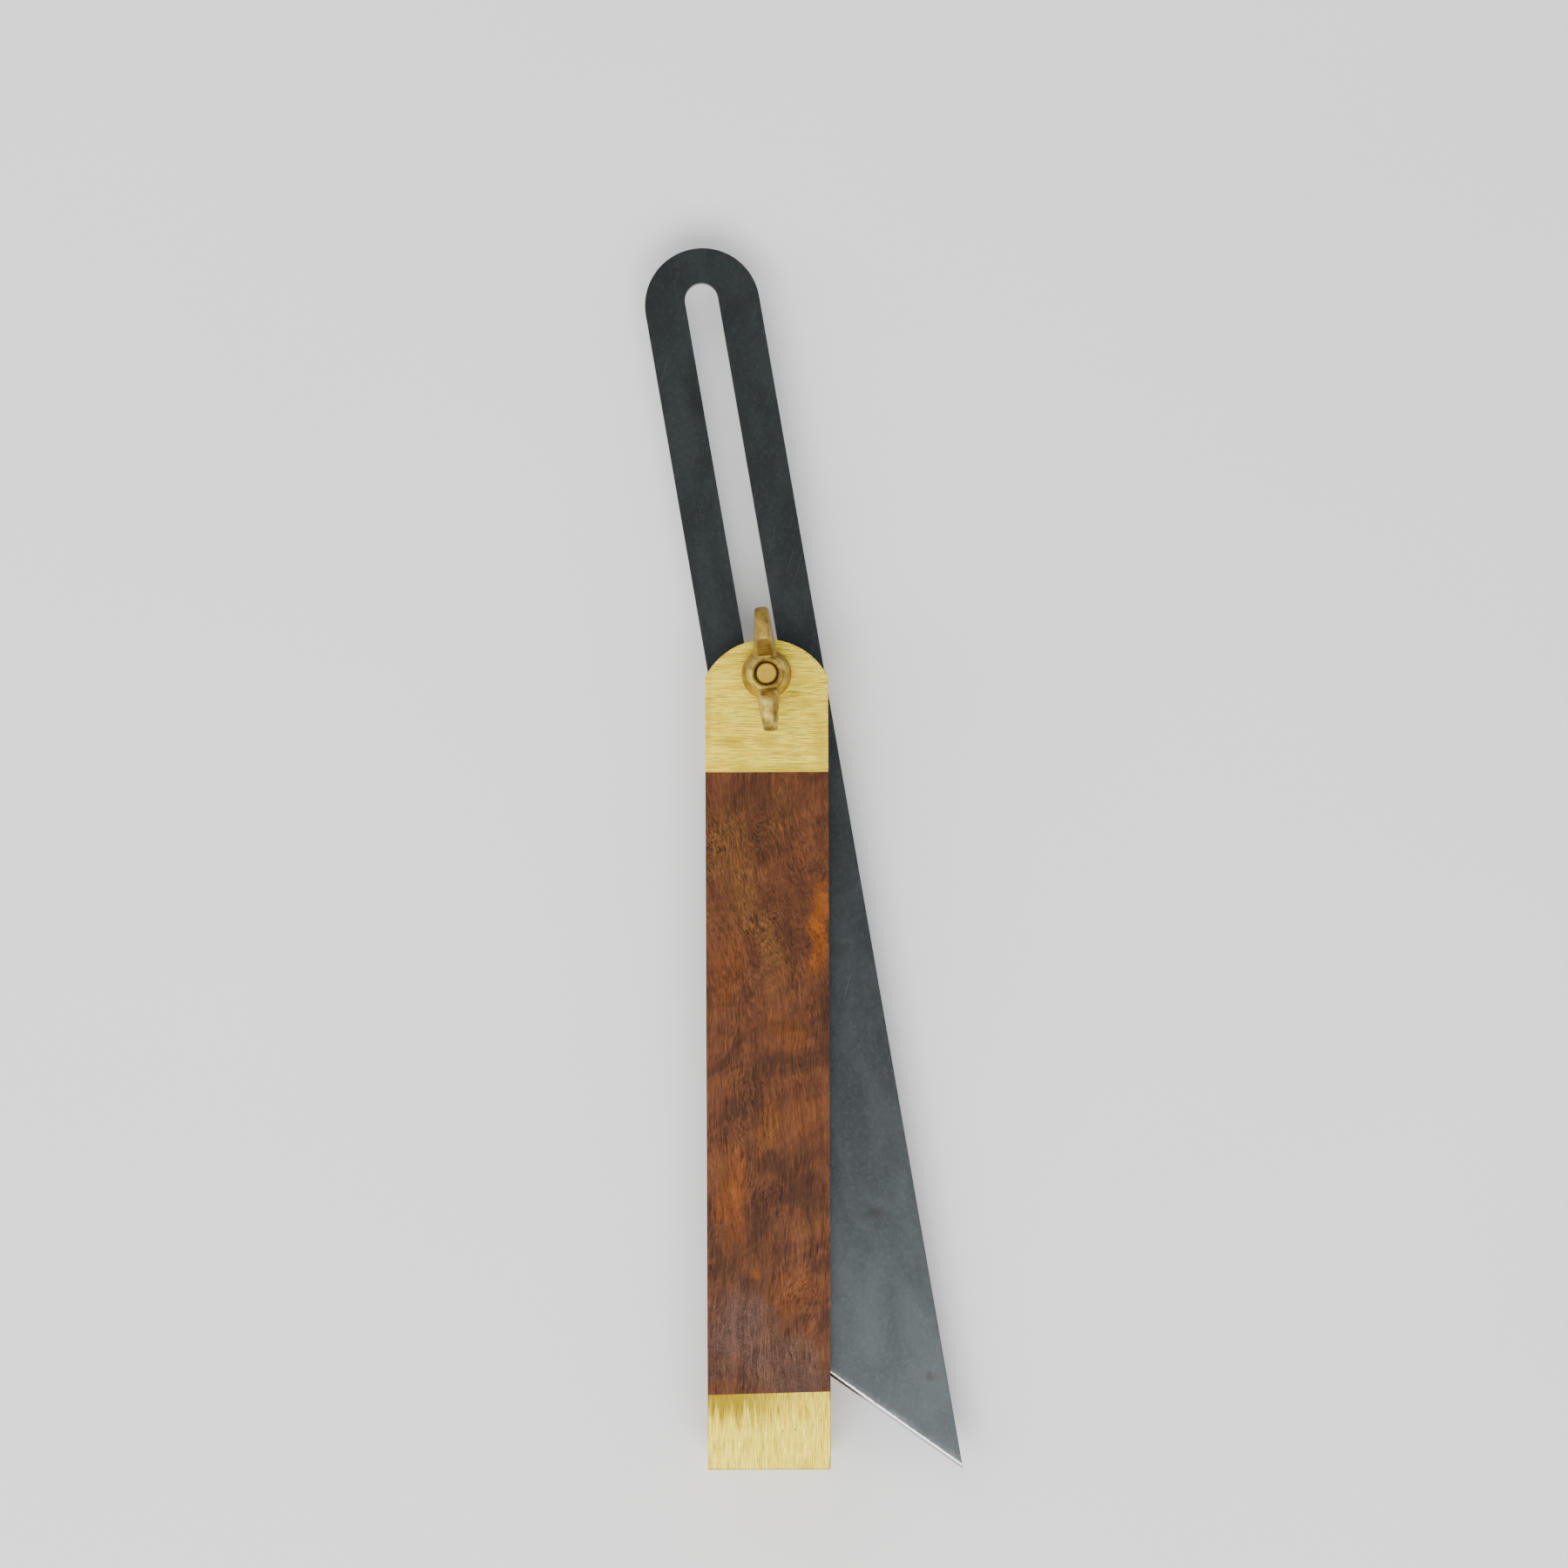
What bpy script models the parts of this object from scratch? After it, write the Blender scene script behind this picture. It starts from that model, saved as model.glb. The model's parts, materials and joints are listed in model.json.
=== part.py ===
"""Carpenter's sliding bevel: a slotted blade clamped between two hardwood cheeks.

The tool lies flat on the back of its stock.  +Z comes out of the front face, +Y runs
along the stock towards its rounded head, and the blade hangs out on the +X side.
The origin is the middle of the stock's back face.  All sizes are in metres.
"""
import math

import bmesh
import bpy

# Stock: two cheeks with the blade's slot between them
STOCK_LENGTH = 0.1755
STOCK_WIDTH = 0.0260
CHEEK_THICKNESS = 0.0082
HEAD_RISE = 0.0080              # height of the rounded head above its two shoulders
SLOT_FLOOR_FROM_BUTT = 0.0164   # where the packing piece closes the slot
WOOD_ARRIS = 0.0004

# Brass let into the stock
HEAD_PLATE_LENGTH = 0.0281
HEAD_PLATE_THICKNESS = 0.0020
HEAD_PIN_RADIUS = 0.0012
HEAD_PIN_FROM_SIDE = 0.0050
HEAD_PIN_FROM_SEAM = 0.0050
HEAD_PIN_WALL = 0.0016          # wood left between a pin's end and the slot
BUTT_STRAP_LENGTH = 0.0164
BUTT_STRAP_THICKNESS = 0.0018
BUTT_STRAP_BEND = 0.0006
BUTT_RIVET_RADIUS = 0.0015
BUTT_RIVET_FROM_SIDE = 0.0060
BRASS_ARRIS = 0.0003

# Blade
BLADE_LENGTH = 0.2667
BLADE_WIDTH = 0.0246
BLADE_THICKNESS = 0.0020
BLADE_ABOVE_PIVOT = 0.0925      # pivot to the top of the round end, as it lies
BLADE_CUT_ANGLE = math.radians(45.0)
BLADE_ARRIS = 0.00015
SLOT_LENGTH = 0.1180
SLOT_FROM_END = 0.0075

# Pivot: screw, sliding block, washer and wing nut
PIVOT_FROM_HEAD = 0.0075
SCREW_RADIUS = 0.00245
SCREW_HEAD_OVERHANG = 0.00215   # how far the countersunk head stands out round the shank
SCREW_HEAD_SINK = 0.0002
SCREW_SLOT_WIDTH = 0.0012
SCREW_SLOT_DEPTH = 0.0011
SCREW_END_CHAMFER = 0.0005
SCREW_BELOW_NUT_TOP = 0.0002
BLOCK_LENGTH = 0.0100
BLOCK_WALL = 0.00075            # between the screw's hole and each flat of the block
WASHER_RIM = 0.00245            # from the washer's hole to its outer edge
WASHER_THICKNESS = 0.0010
NUT_BASE_WALL = 0.0027
NUT_TOP_WALL = 0.00115
NUT_FOOT = 0.0012
NUT_BOSS_HEIGHT = 0.0065
NUT_MOUTH_CHAMFER = 0.0004
WING_SPAN = 0.0260
WING_HEIGHT = 0.0130
WING_THICKNESS = 0.0035
WING_EAR_RADIUS = 0.0042
WING_ROUNDING = 0.0006
WING_OFFSET = 0.0008            # a rough casting: its wings stand this far off the thread
WING_TURN = math.radians(4.2)

# Clearances
SEAT_GAP = 0.0003               # between faces that lie against each other
ROUND_GAP = 0.0001              # all round a pin or a screw in its hole
BLADE_GAP = 0.0003              # blade to each cheek
SLIDE_GAP = 0.00025             # block to each side of the blade's slot

# Worked out from the sizes above
SLOT_GAP = BLADE_THICKNESS + 2 * BLADE_GAP
HALF_THICKNESS = CHEEK_THICKNESS + SLOT_GAP / 2
HALF_WIDTH = STOCK_WIDTH / 2
HEAD_Y = STOCK_LENGTH / 2
BUTT_Y = -STOCK_LENGTH / 2
PIVOT_Y = HEAD_Y - PIVOT_FROM_HEAD
HEAD_SEAM_Y = HEAD_Y - HEAD_PLATE_LENGTH
BUTT_SEAM_Y = BUTT_Y + BUTT_STRAP_LENGTH
SLOT_FLOOR_Y = BUTT_Y + SLOT_FLOOR_FROM_BUTT
WOOD_END_Y = BUTT_Y + BUTT_STRAP_THICKNESS + SEAT_GAP
FRONT_Z = 2 * HALF_THICKNESS
WASHER_Z = FRONT_Z + SEAT_GAP
NUT_Z = WASHER_Z + WASHER_THICKNESS + SEAT_GAP
SCREW_END_Z = NUT_Z + NUT_BOSS_HEIGHT - SCREW_BELOW_NUT_TOP
HOLE_RADIUS = SCREW_RADIUS + ROUND_GAP
SCREW_HEAD_RADIUS = SCREW_RADIUS + SCREW_HEAD_OVERHANG
BLOCK_WIDTH = 2 * (HOLE_RADIUS + BLOCK_WALL)
SLOT_WIDTH = BLOCK_WIDTH + 2 * SLIDE_GAP
WASHER_RADIUS = HOLE_RADIUS + WASHER_RIM
NUT_BASE_RADIUS = HOLE_RADIUS + NUT_BASE_WALL
NUT_TOP_RADIUS = HOLE_RADIUS + NUT_TOP_WALL
FRONT = 1
BACK = -1


def rest_angle():
    """Blade's lean from the stock when its inner edge lies at the slot's closed end."""
    reach = PIVOT_Y - SLOT_FLOOR_Y
    offset = BLADE_WIDTH / 2 + SEAT_GAP
    return math.acos(-offset / math.hypot(HALF_WIDTH, reach)) - math.atan2(reach, HALF_WIDTH)


def clear_scene():
    for old in list(bpy.data.objects):
        bpy.data.objects.remove(old, do_unlink=True)


def make_material(name, colour, roughness, metallic):
    material = bpy.data.materials.new(name)
    material.use_nodes = True
    shader = material.node_tree.nodes["Principled BSDF"]
    shader.inputs["Base Color"].default_value = (*colour, 1.0)
    shader.inputs["Roughness"].default_value = roughness
    shader.inputs["Metallic"].default_value = metallic
    return material


WOOD = ((0.150, 0.060, 0.030), 0.45, 0.0)
BRASS = ((0.620, 0.450, 0.170), 0.35, 1.0)
CAST_BRASS = ((0.400, 0.260, 0.110), 0.50, 1.0)
BLUED_STEEL = ((0.045, 0.052, 0.060), 0.40, 0.8)


def add_object(name, bm, finish=None, location=(0.0, 0.0, 0.0), parent=None):
    mesh = bpy.data.meshes.new(name)
    bmesh.ops.recalc_face_normals(bm, faces=bm.faces)
    bm.to_mesh(mesh)
    bm.free()
    mesh.shade_smooth()
    mesh.set_sharp_from_angle(angle=math.radians(30))
    piece = bpy.data.objects.new(name, mesh)
    bpy.context.scene.collection.objects.link(piece)
    piece.location = location
    piece.parent = parent
    if finish:
        mesh.materials.append(make_material(name, *finish))
    return piece


def cut(piece, cutters, operation="DIFFERENCE"):
    for cutter in cutters:
        cutter.hide_render = True
        cutter.display_type = "WIRE"
        step = piece.modifiers.new(cutter.name, "BOOLEAN")
        step.operation = operation
        step.solver = "EXACT"
        step.object = cutter


def arc(centre_x, centre_y, radius, start, end, steps):
    points = []
    for step in range(steps + 1):
        angle = start + (end - start) * step / steps
        points.append((centre_x + radius * math.cos(angle), centre_y + radius * math.sin(angle)))
    return points


def prism(outline, low, high, place=lambda u, v, w: (u, v, w)):
    """Closed solid: an outline in u, v carried along w from low to high."""
    bm = bmesh.new()
    face = bm.faces.new([bm.verts.new(place(u, v, low)) for u, v in outline])
    raised = bmesh.ops.extrude_face_region(bm, geom=[face])["geom"]
    top = [part for part in raised if isinstance(part, bmesh.types.BMVert)]
    bmesh.ops.translate(bm, verts=top, vec=place(0.0, 0.0, high - low))
    return bm


def turned(profile, steps=40):
    """Closed solid of revolution about Z from a profile of (radius, z) points."""
    bm = bmesh.new()
    ring = [bm.verts.new((radius, 0.0, z)) for radius, z in profile]
    edges = [bm.edges.new(pair) for pair in zip(ring, ring[1:])]
    if profile[0][0] > 0:
        edges.append(bm.edges.new((ring[-1], ring[0])))
    bmesh.ops.spin(bm, geom=ring + edges, axis=(0, 0, 1), angle=2 * math.pi, steps=steps)
    bmesh.ops.remove_doubles(bm, verts=bm.verts, dist=1e-7)
    return bm


def chamfer(bm, wanted, width, segments=1):
    """Take the corner off each edge whose middle point is wanted."""
    edges = [edge for edge in bm.edges if wanted((edge.verts[0].co + edge.verts[1].co) / 2)]
    bmesh.ops.bevel(bm, geom=edges, offset=width, segments=segments, affect="EDGES", profile=0.5)


def drill(name, radius, x, y, low, high, parent=None):
    return add_object(name, turned([(0, low), (radius, low), (radius, high), (0, high)], 32),
                      location=(x, y, 0.0), parent=parent)


def block_cutter(name, x_half, y_low, y_high, z_low, z_high):
    outline = [(-x_half, y_low), (x_half, y_low), (x_half, y_high), (-x_half, y_high)]
    return add_object(name, prism(outline, z_low, z_high))


def levels(side, inner, outer):
    """Lowest and highest z of a layer, from its distances to the slot's middle plane."""
    return sorted((HALF_THICKNESS + side * inner, HALF_THICKNESS + side * outer))


def head_outline(y_low):
    """Stock's outline above y_low: straight sides and a rounded head."""
    radius = (HALF_WIDTH ** 2 + HEAD_RISE ** 2) / (2 * HEAD_RISE)
    spread = math.asin(HALF_WIDTH / radius)
    if HEAD_RISE > HALF_WIDTH:
        spread = math.pi - spread
    crown = arc(0.0, HEAD_Y - radius, radius, math.pi / 2 - spread, math.pi / 2 + spread, 24)
    return [(-HALF_WIDTH, y_low), (HALF_WIDTH, y_low)] + crown


def head_pin_places():
    x = HALF_WIDTH - HEAD_PIN_FROM_SIDE
    y = HEAD_SEAM_Y + HEAD_PIN_FROM_SEAM
    return [(-x, y), (x, y)]


def butt_rivet_places():
    x = HALF_WIDTH - BUTT_RIVET_FROM_SIDE
    y = (BUTT_Y + BUTT_SEAM_Y) / 2
    return [(-x, y), (x, y)]


def screw_head_profile(grow):
    """Rim radius and height, shank radius, and the height where the cone meets the shank."""
    rim = SCREW_HEAD_RADIUS + grow
    radius = SCREW_RADIUS + grow
    return rim, SCREW_HEAD_SINK, radius, SCREW_HEAD_SINK + rim - radius


def make_cheek(label, side):
    plate_floor = HALF_THICKNESS - HEAD_PLATE_THICKNESS - SEAT_GAP
    strap_floor = HALF_THICKNESS - BUTT_STRAP_THICKNESS - SEAT_GAP
    over = HALF_THICKNESS + SEAT_GAP
    bm = prism(head_outline(WOOD_END_Y), *levels(side, SLOT_GAP / 2, HALF_THICKNESS))
    face_z = HALF_THICKNESS + side * HALF_THICKNESS
    chamfer(bm, lambda co: abs(co.z - face_z) < 1e-6 and co.y < PIVOT_Y, WOOD_ARRIS)
    cheek = add_object(label + "_cheek", bm, WOOD)
    cutters = [
        block_cutter(label + "_head_rebate", STOCK_WIDTH, HEAD_SEAM_Y - SEAT_GAP, HEAD_Y + HALF_WIDTH,
                     *levels(side, plate_floor, over)),
        block_cutter(label + "_butt_rebate", STOCK_WIDTH, BUTT_Y - HALF_WIDTH, BUTT_SEAM_Y + SEAT_GAP,
                     *levels(side, strap_floor, over)),
        pivot_hole(label + "_pivot_drill", side),
    ]
    pin_end = SLOT_GAP / 2 + HEAD_PIN_WALL - SEAT_GAP
    for number, (x, y) in enumerate(head_pin_places(), 1):
        cutters.append(drill(f"{label}_pin_drill_{number}", HEAD_PIN_RADIUS + ROUND_GAP, x, y,
                             *levels(side, pin_end, over)))
    for number, (x, y) in enumerate(butt_rivet_places(), 1):
        cutters.append(drill(f"{label}_rivet_drill_{number}", BUTT_RIVET_RADIUS + ROUND_GAP, x, y,
                             *levels(side, 0.0, over)))
    cut(cheek, cutters)


def pivot_hole(name, side):
    """Hole for the screw through one side of the stock, countersunk at the back."""
    low, high = levels(side, 0.0, HALF_THICKNESS + SEAT_GAP)
    if side == FRONT:
        return drill(name, HOLE_RADIUS, 0.0, PIVOT_Y, low, high)
    rim, rim_z, radius, neck_z = screw_head_profile(ROUND_GAP)
    profile = [(0, low), (rim, low), (rim, rim_z), (radius, neck_z), (radius, high), (0, high)]
    return add_object(name, turned(profile), location=(0.0, PIVOT_Y, 0.0))


def make_head_plate(label, side):
    inner = HALF_THICKNESS - HEAD_PLATE_THICKNESS
    face_z = HALF_THICKNESS + side * HALF_THICKNESS
    bm = prism(head_outline(HEAD_SEAM_Y), *levels(side, inner, HALF_THICKNESS))
    chamfer(bm, lambda co: abs(co.z - face_z) < 1e-6 and co.y > HEAD_SEAM_Y + 1e-6, BRASS_ARRIS)
    plate = add_object(label + "_head_plate", bm, BRASS)
    reach = (inner - SEAT_GAP, HALF_THICKNESS + SEAT_GAP)
    cutters = [pivot_hole(label + "_plate_pivot", side)]
    for number, (x, y) in enumerate(head_pin_places(), 1):
        cutters.append(drill(f"{label}_plate_pin_{number}", HEAD_PIN_RADIUS + ROUND_GAP, x, y,
                             *levels(side, *reach)))
    cut(plate, cutters)


def make_head_pins(label, side):
    low, high = levels(side, SLOT_GAP / 2 + HEAD_PIN_WALL, HALF_THICKNESS)
    for number, (x, y) in enumerate(head_pin_places(), 1):
        profile = [(0, low), (HEAD_PIN_RADIUS, low), (HEAD_PIN_RADIUS, high), (0, high)]
        add_object(f"{label}_head_pin_{number}", turned(profile, 32), BRASS, location=(x, y, 0.0))


def make_butt_spacer():
    half = SLOT_GAP / 2 - SEAT_GAP
    outline = [(-HALF_WIDTH, WOOD_END_Y), (HALF_WIDTH, WOOD_END_Y),
               (HALF_WIDTH, SLOT_FLOOR_Y), (-HALF_WIDTH, SLOT_FLOOR_Y)]
    spacer = add_object("butt_spacer", prism(outline, *levels(FRONT, -half, half)), WOOD)
    cut(spacer, [drill(f"spacer_drill_{number}", BUTT_RIVET_RADIUS + ROUND_GAP, x, y, 0.0, FRONT_Z)
                 for number, (x, y) in enumerate(butt_rivet_places(), 1)])


def make_butt_strap():
    """One strip bent into a U round the butt; its profile lies in y, z."""
    bend = BUTT_STRAP_BEND
    low_inner = BUTT_STRAP_THICKNESS
    high_inner = FRONT_Z - BUTT_STRAP_THICKNESS
    end_inner = BUTT_Y + BUTT_STRAP_THICKNESS
    outline = [(BUTT_SEAM_Y, 0.0), (BUTT_SEAM_Y, low_inner), (end_inner, low_inner),
               (end_inner, high_inner), (BUTT_SEAM_Y, high_inner), (BUTT_SEAM_Y, FRONT_Z)]
    outline += arc(BUTT_Y + bend, FRONT_Z - bend, bend, math.pi / 2, math.pi, 5)
    outline += arc(BUTT_Y + bend, bend, bend, math.pi, 1.5 * math.pi, 5)
    bm = prism(outline, -HALF_WIDTH, HALF_WIDTH, lambda u, v, w: (w, u, v))
    strap = add_object("butt_strap", bm, BRASS)
    cut(strap, [drill(f"strap_drill_{number}", BUTT_RIVET_RADIUS + ROUND_GAP, x, y,
                      -SEAT_GAP, FRONT_Z + SEAT_GAP)
                for number, (x, y) in enumerate(butt_rivet_places(), 1)])


def make_butt_rivets():
    for number, (x, y) in enumerate(butt_rivet_places(), 1):
        profile = [(0, 0), (BUTT_RIVET_RADIUS, 0), (BUTT_RIVET_RADIUS, FRONT_Z), (0, FRONT_Z)]
        add_object(f"butt_rivet_{number}", turned(profile, 32), BRASS, location=(x, y, 0.0))


def make_pivot_screw():
    rim, rim_z, radius, neck_z = screw_head_profile(0.0)
    profile = [(0, rim_z), (rim, rim_z), (radius, neck_z),
               (radius, SCREW_END_Z - SCREW_END_CHAMFER),
               (radius - SCREW_END_CHAMFER, SCREW_END_Z), (0, SCREW_END_Z)]
    screw = add_object("pivot_screw", turned(profile), BRASS, location=(0.0, PIVOT_Y, 0.0))
    cut(screw, [block_cutter("screw_slot", 2 * rim, PIVOT_Y - SCREW_SLOT_WIDTH / 2,
                             PIVOT_Y + SCREW_SLOT_WIDTH / 2, -SEAT_GAP, rim_z + SCREW_SLOT_DEPTH)])


def stadium(width, low, high, steps=12):
    """Outline with round ends, running along y from low to high."""
    half = width / 2
    lower_end = arc(0.0, low + half, half, math.pi, 2 * math.pi, steps)
    upper_end = arc(0.0, high - half, half, 0.0, math.pi, steps)
    return lower_end + upper_end


def make_blade(axis):
    half = BLADE_WIDTH / 2
    low = BLADE_ABOVE_PIVOT - BLADE_LENGTH
    shoulder = low + BLADE_WIDTH / math.tan(BLADE_CUT_ANGLE)
    outline = [(-half, shoulder), (half, low)]
    outline += arc(0.0, BLADE_ABOVE_PIVOT - half, half, 0.0, math.pi, 32)
    z_low, z_high = levels(FRONT, -BLADE_THICKNESS / 2, BLADE_THICKNESS / 2)
    bm = prism(outline, z_low, z_high)
    for face_z in (z_low, z_high):
        chamfer(bm, lambda co: abs(co.z - face_z) < 1e-6, BLADE_ARRIS)
    blade = add_object("blade", bm, BLUED_STEEL, parent=axis)
    slot_top = BLADE_ABOVE_PIVOT - SLOT_FROM_END
    slot_shape = prism(stadium(SLOT_WIDTH, slot_top - SLOT_LENGTH, slot_top),
                       z_low - BLADE_THICKNESS, z_high + BLADE_THICKNESS)
    cut(blade, [add_object("blade_slot", slot_shape, parent=axis)])


def make_slide_block(axis):
    z_low, z_high = levels(FRONT, -BLADE_THICKNESS / 2, BLADE_THICKNESS / 2)
    shape = prism(stadium(BLOCK_WIDTH, -BLOCK_LENGTH / 2, BLOCK_LENGTH / 2), z_low, z_high)
    block = add_object("slide_block", shape, BRASS, parent=axis)
    cut(block, [drill("block_drill", HOLE_RADIUS, 0.0, 0.0, z_low - BLADE_THICKNESS,
                      z_high + BLADE_THICKNESS, parent=axis)])


def make_washer():
    low, high = WASHER_Z, WASHER_Z + WASHER_THICKNESS
    profile = [(HOLE_RADIUS, low), (WASHER_RADIUS, low), (WASHER_RADIUS, high), (HOLE_RADIUS, high)]
    add_object("washer", turned(profile, 48), BRASS, location=(0.0, PIVOT_Y, 0.0))


def touch_angle(x, y, centre_x, centre_y, radius, side):
    """Angle on a circle where a line from the point (x, y) touches it."""
    towards = math.atan2(y - centre_y, x - centre_x)
    return towards + side * math.acos(radius / math.hypot(x - centre_x, y - centre_y))


def wing_side(side):
    """One wing's side view, from its foot on the boss round the ear to the crotch."""
    ear_x = WING_SPAN / 2 - WING_EAR_RADIUS + side * WING_OFFSET
    ear_z = WING_HEIGHT - WING_EAR_RADIUS
    foot = (NUT_BASE_RADIUS * 0.85, NUT_FOOT * 0.8)
    crotch = (NUT_TOP_RADIUS * 0.85, NUT_BOSS_HEIGHT * 0.92)
    lower = touch_angle(*foot, ear_x, ear_z, WING_EAR_RADIUS, 1)
    upper = touch_angle(*crotch, ear_x, ear_z, WING_EAR_RADIUS, -1)
    turn = (upper - lower) % (2 * math.pi)
    ear = arc(ear_x, ear_z, WING_EAR_RADIUS, lower, lower + turn, 20)
    return [(side * x, z) for x, z in (foot, *ear, crotch)]


def make_wing_nut():
    place = (0.0, PIVOT_Y, NUT_Z)
    top = NUT_BOSS_HEIGHT
    rim = (NUT_TOP_RADIUS, top - NUT_MOUTH_CHAMFER), (NUT_TOP_RADIUS - NUT_MOUTH_CHAMFER, top)
    profile = [(0, 0), (NUT_BASE_RADIUS, 0), (NUT_BASE_RADIUS, NUT_FOOT), *rim, (0, top)]
    nut = add_object("wing_nut", turned(profile, 48), CAST_BRASS, location=place)
    outline = wing_side(1) + wing_side(-1)[::-1]
    bm = prism(outline, -WING_THICKNESS / 2, WING_THICKNESS / 2, lambda u, v, w: (w, u, v))
    for side in (-1, 1):
        chamfer(bm, lambda co: abs(co.x - side * WING_THICKNESS / 2) < 1e-6, WING_ROUNDING, 2)
    wings = add_object("nut_wings", bm, location=place)
    mouth = HOLE_RADIUS + NUT_MOUTH_CHAMFER
    bore = [(0, -SEAT_GAP), (HOLE_RADIUS, -SEAT_GAP), (HOLE_RADIUS, top - NUT_MOUTH_CHAMFER),
            (mouth, top), (mouth, WING_HEIGHT), (0, WING_HEIGHT)]
    hole = add_object("nut_bore", turned(bore), location=place)
    cut(nut, [wings], "UNION")
    cut(nut, [hole])
    nut.rotation_euler.z = WING_TURN
    wings.rotation_euler.z = WING_TURN


def main():
    clear_scene()
    for side, label in ((FRONT, "front"), (BACK, "back")):
        make_cheek(label, side)
        make_head_plate(label, side)
        make_head_pins(label, side)
    make_butt_spacer()
    make_butt_strap()
    make_butt_rivets()
    make_pivot_screw()
    axis = bpy.data.objects.new("blade_axis", None)
    axis.location = (0.0, PIVOT_Y, 0.0)
    axis.rotation_euler.z = rest_angle()
    bpy.context.scene.collection.objects.link(axis)
    make_blade(axis)
    make_slide_block(axis)
    make_washer()
    make_wing_nut()


main()
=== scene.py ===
"""Looks of a carpenter's sliding bevel: oiled hardwood, brushed and cast brass, blued steel."""

import json
import math

import bmesh
import bpy
from mathutils import Matrix, Vector, noise


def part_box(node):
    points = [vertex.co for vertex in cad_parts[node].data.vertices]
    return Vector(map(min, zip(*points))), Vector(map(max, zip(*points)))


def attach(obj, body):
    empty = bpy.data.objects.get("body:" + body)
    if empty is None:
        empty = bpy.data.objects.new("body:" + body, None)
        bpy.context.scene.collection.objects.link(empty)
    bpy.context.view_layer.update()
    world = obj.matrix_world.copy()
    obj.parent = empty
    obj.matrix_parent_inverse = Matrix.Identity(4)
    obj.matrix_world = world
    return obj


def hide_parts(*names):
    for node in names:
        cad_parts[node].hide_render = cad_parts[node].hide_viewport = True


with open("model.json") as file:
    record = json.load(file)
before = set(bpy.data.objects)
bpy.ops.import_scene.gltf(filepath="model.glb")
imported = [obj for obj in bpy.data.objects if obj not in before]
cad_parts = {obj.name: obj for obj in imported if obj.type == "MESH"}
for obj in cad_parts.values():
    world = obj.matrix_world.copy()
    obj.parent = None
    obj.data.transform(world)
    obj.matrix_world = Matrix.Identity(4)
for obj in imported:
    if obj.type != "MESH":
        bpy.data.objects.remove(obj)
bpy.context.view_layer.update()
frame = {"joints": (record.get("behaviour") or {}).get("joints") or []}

MM = 0.001


def joint(name):
    """One joint as the frame gives it."""
    return next(found for found in frame["joints"] if found["name"] == name)


# Places read from the frame
PLATE_LOW, PLATE_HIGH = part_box("front_head_plate")
STRAP_LOW, STRAP_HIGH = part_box("butt_strap")
HEAD_Y = PLATE_HIGH.y
HEAD_SEAM_Y = PLATE_LOW.y
HALF_WIDTH = PLATE_HIGH.x
FRONT_Z = PLATE_HIGH.z
MIDDLE_Z = FRONT_Z / 2
PLATE_THICKNESS = PLATE_HIGH.z - PLATE_LOW.z
BUTT_Y = STRAP_LOW.y
BUTT_SEAM_Y = STRAP_HIGH.y
PIVOT = Vector(joint("blade_pivot")["pos_m"])
DOWN_BLADE = Vector(joint("blade_slide")["axis"])
BLADE_TURN = math.atan2(DOWN_BLADE.x, -DOWN_BLADE.y)
NUT_LOW, NUT_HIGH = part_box("wing_nut")
WASHER_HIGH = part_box("washer")[1]
SCREW_LOW, SCREW_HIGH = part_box("pivot_screw")
SCREW_HEAD_RADIUS = SCREW_HIGH.x
BLADE_LOW, BLADE_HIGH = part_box("blade")
BLOCK_LOW, BLOCK_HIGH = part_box("slide_block")
SPACER_LOW, SPACER_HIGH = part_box("butt_spacer")
CHEEK_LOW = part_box("front_cheek")[0]

# Stock
HEAD_RISE = 8.0 * MM
HEAD_ARC_RADIUS = (HALF_WIDTH ** 2 + HEAD_RISE ** 2) / (2 * HEAD_RISE)
FILE_DIP = 0.09 * MM            # deepest of the filed flats round the head
FILED_FLATS = 26                # how many of them to a radian
CONTACT = 0.02 * MM             # pieces that touch stay this far apart
WOOD_ARRIS = 0.45 * MM
STRAP_THICKNESS = 1.8 * MM
STRAP_BEND = 0.6 * MM
BRASS_ARRIS = 0.28 * MM
PIN_RADIUS = 1.2 * MM
PIN_PLACES = [(side * 8.0 * MM, HEAD_SEAM_Y + 5.0 * MM) for side in (-1, 1)]
PIN_END_Z = 12.4 * MM           # buried end of a front pin
PIN_HOLE_END_Z = MIDDLE_Z + 2.6 * MM
RIVET_RADIUS = 1.5 * MM
RIVET_PLACES = [(side * 7.0 * MM, (BUTT_Y + BUTT_SEAM_Y) / 2) for side in (-1, 1)]
BURIED_ARRIS = 0.2 * MM
FLUSH_ARRIS = 0.03 * MM
BUTT_SEAM_LEFT = -0.50 * MM     # the strap's front edge was sawn slightly out of square
BUTT_SEAM_RIGHT = 0.12 * MM

# Pivot
SCREW_RADIUS = 2.45 * MM
HOLE_RADIUS = 2.55 * MM
SCREW_END_CHAMFER = 0.5 * MM
THREAD_PITCH = 0.8 * MM
THREAD_DEPTH = 0.42 * MM
DRIVER_SLOT_WIDTH = 1.2 * MM
DRIVER_SLOT_DEPTH = 1.1 * MM
BLOCK_WIDTH = 6.6 * MM
BLOCK_LENGTH = 10.0 * MM

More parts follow.
